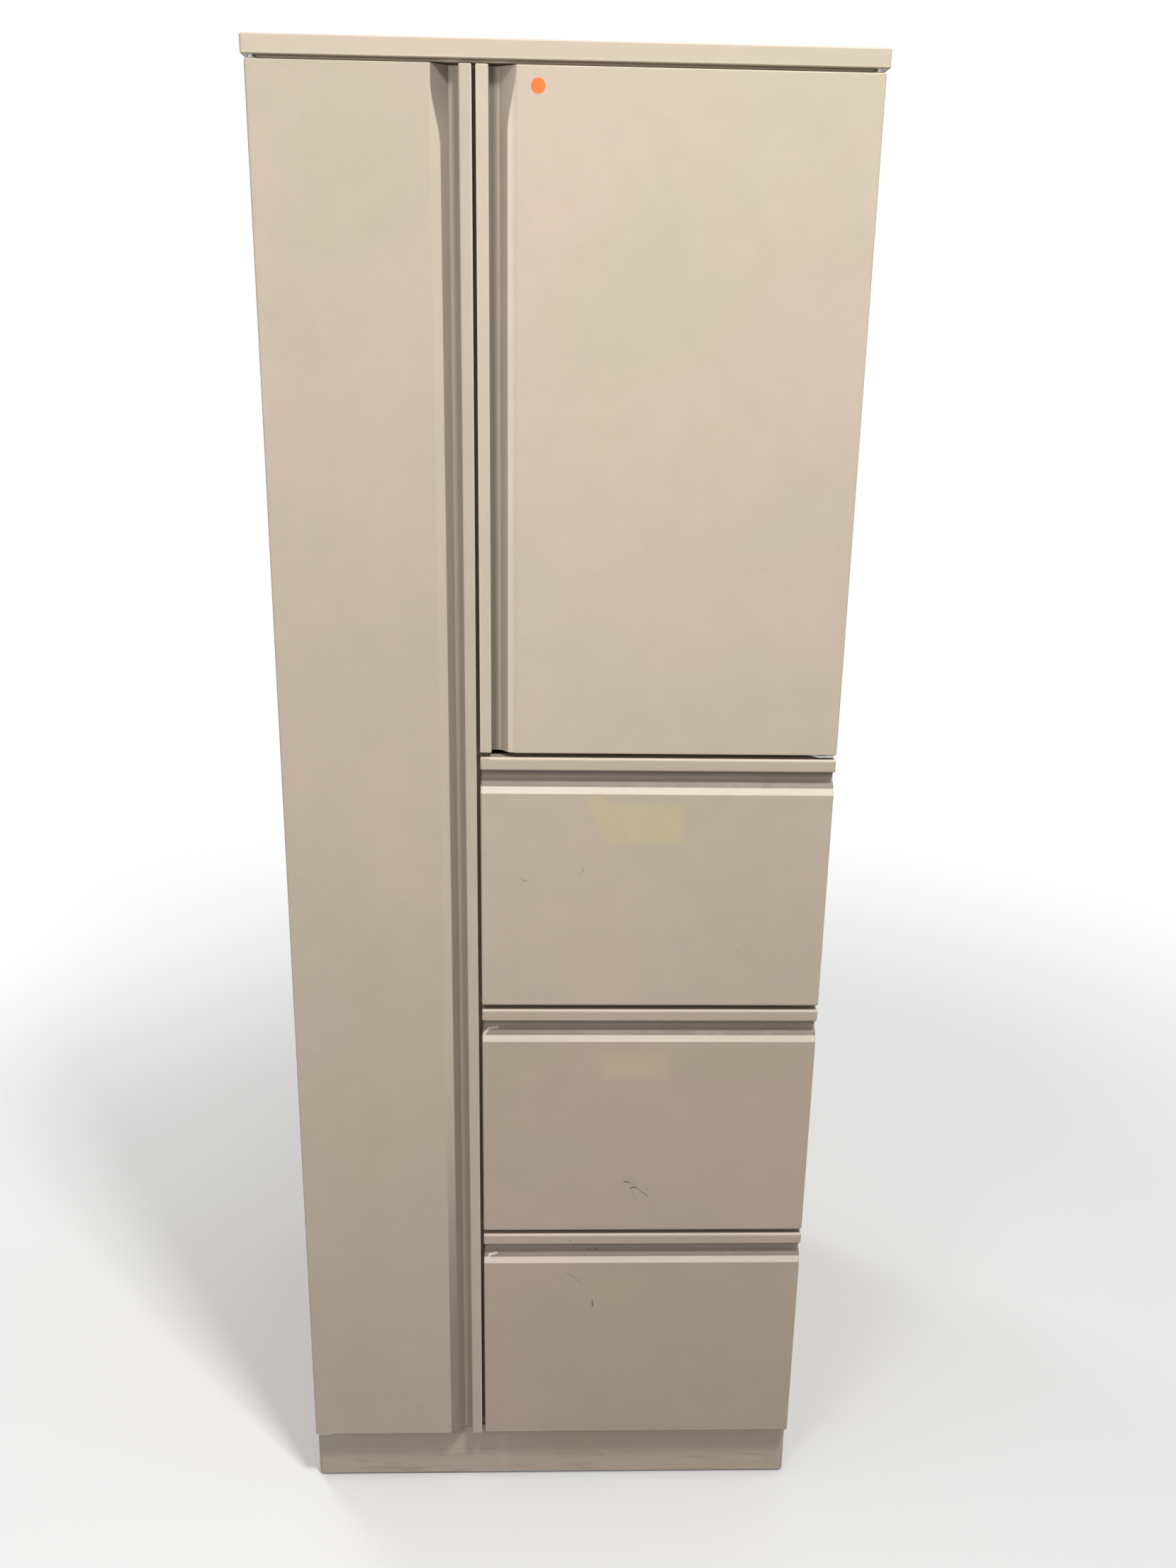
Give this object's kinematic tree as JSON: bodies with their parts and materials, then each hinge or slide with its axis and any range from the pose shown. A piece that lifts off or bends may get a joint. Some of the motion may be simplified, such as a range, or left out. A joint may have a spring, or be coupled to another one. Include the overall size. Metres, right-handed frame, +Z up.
{
  "type": "steel storage tower",
  "caption": "Tall painted steel storage cabinet with a full-height wardrobe door beside an upper door over file drawers, all with folded full-length pulls, under a flat cap on a recessed base.",
  "frame": {"origin": "on the floor, under the middle of the cabinet's outer box", "axes": "+Z up, the fronts face -Y, +X towards the drawers, to the right as one faces the cabinet"},
  "size_m": [0.614, 0.6096, 1.6955],
  "materials": {
    "paint_outside": "warm putty powder coat, low gloss, fine orange peel",
    "paint_inside": "the same putty powder coat, a little thinner and duller",
    "zinc_steel": "bright zinc plate",
    "rod_chrome": "chrome plate",
    "nylon": "natural nylon",
    "catch_plastic": "black moulded plastic"
  },
  "bodies": {
    "cabinet": {"top_cap": "paint_outside", "side_panel_left": "paint_outside", "side_panel_right": "paint_outside", "kick_plate": "paint_outside", "back_panel": "paint_inside", "top_panel": "paint_inside", "bottom_panel": "paint_inside", "centre_divider": "paint_inside", "compartment_floor": "paint_inside", "rail_under_drawer_1": "paint_inside", "rail_under_drawer_2": "paint_inside", "hat_shelf": "paint_inside", "adjustable_shelf": "paint_inside", "coat_rod": "rod_chrome", "shelf_clip_front_left": "zinc_steel", "shelf_clip_front_right": "zinc_steel", "shelf_clip_rear_left": "zinc_steel", "shelf_clip_rear_right": "zinc_steel", "levelling_glide_front_left": "zinc_steel", "levelling_glide_front_right": "zinc_steel", "levelling_glide_rear_left": "zinc_steel", "levelling_glide_rear_right": "zinc_steel", "left_door_top_pivot": "zinc_steel", "left_door_bottom_pivot": "zinc_steel", "right_door_top_pivot": "zinc_steel", "right_door_bottom_pivot": "zinc_steel", "left_door_catch": "catch_plastic", "right_door_catch": "catch_plastic", "drawer_1_slide_left_cabinet": "zinc_steel", "drawer_1_slide_right_cabinet": "zinc_steel", "drawer_2_slide_left_cabinet": "zinc_steel", "drawer_2_slide_right_cabinet": "zinc_steel", "drawer_3_slide_left_cabinet": "zinc_steel", "drawer_3_slide_right_cabinet": "zinc_steel"},
    "left_door": {"left_door_skin": "paint_outside", "left_door_inner_pan": "paint_inside", "left_door_top_bush": "nylon", "left_door_bottom_bush": "nylon"},
    "right_door": {"right_door_skin": "paint_outside", "right_door_inner_pan": "paint_inside", "right_door_top_bush": "nylon", "right_door_bottom_bush": "nylon"},
    "drawer_1": {"drawer_1_front": "paint_outside", "drawer_1_tub": "paint_inside", "drawer_1_slide_left_inner": "zinc_steel", "drawer_1_slide_right_inner": "zinc_steel"},
    "drawer_1_middle": {"drawer_1_slide_left_middle": "zinc_steel", "drawer_1_slide_right_middle": "zinc_steel"},
    "drawer_2": {"drawer_2_front": "paint_outside", "drawer_2_tub": "paint_inside", "drawer_2_slide_left_inner": "zinc_steel", "drawer_2_slide_right_inner": "zinc_steel"},
    "drawer_2_middle": {"drawer_2_slide_left_middle": "zinc_steel", "drawer_2_slide_right_middle": "zinc_steel"},
    "drawer_3": {"drawer_3_front": "paint_outside", "drawer_3_tub": "paint_inside", "drawer_3_slide_left_inner": "zinc_steel", "drawer_3_slide_right_inner": "zinc_steel"},
    "drawer_3_middle": {"drawer_3_slide_left_middle": "zinc_steel", "drawer_3_slide_right_middle": "zinc_steel"}
  },
  "joints": [
    {"name": "left_door_hinge", "type": "hinge", "parent": "cabinet", "child": "left_door", "pos_m": [-0.2978, -0.2958, 0.87848], "axis": [0, 0, -1], "range_deg": [0, 110]},
    {"name": "right_door_hinge", "type": "hinge", "parent": "cabinet", "child": "right_door", "pos_m": [0.2978, -0.2958, 1.33567], "axis": [0, 0, 1], "range_deg": [0, 110]},
    {"name": "drawer_1_slide", "type": "slide", "parent": "cabinet", "child": "drawer_1", "axis": [0, -1, 0], "range_m": [0, 0.508]},
    {"name": "drawer_1_middle_slide", "type": "slide", "parent": "cabinet", "child": "drawer_1_middle", "axis": [0, -1, 0], "range_m": [0, 0.254]},
    {"name": "drawer_2_slide", "type": "slide", "parent": "cabinet", "child": "drawer_2", "axis": [0, -1, 0], "range_m": [0, 0.508]},
    {"name": "drawer_2_middle_slide", "type": "slide", "parent": "cabinet", "child": "drawer_2_middle", "axis": [0, -1, 0], "range_m": [0, 0.254]},
    {"name": "drawer_3_slide", "type": "slide", "parent": "cabinet", "child": "drawer_3", "axis": [0, -1, 0], "range_m": [0, 0.508]},
    {"name": "drawer_3_middle_slide", "type": "slide", "parent": "cabinet", "child": "drawer_3_middle", "axis": [0, -1, 0], "range_m": [0, 0.254]}
  ],
  "couplings": [
    {"joint": "drawer_1_middle_slide", "follows": "drawer_1_slide", "ratio": 0.5},
    {"joint": "drawer_2_middle_slide", "follows": "drawer_2_slide", "ratio": 0.5},
    {"joint": "drawer_3_middle_slide", "follows": "drawer_3_slide", "ratio": 0.5}
  ]
}
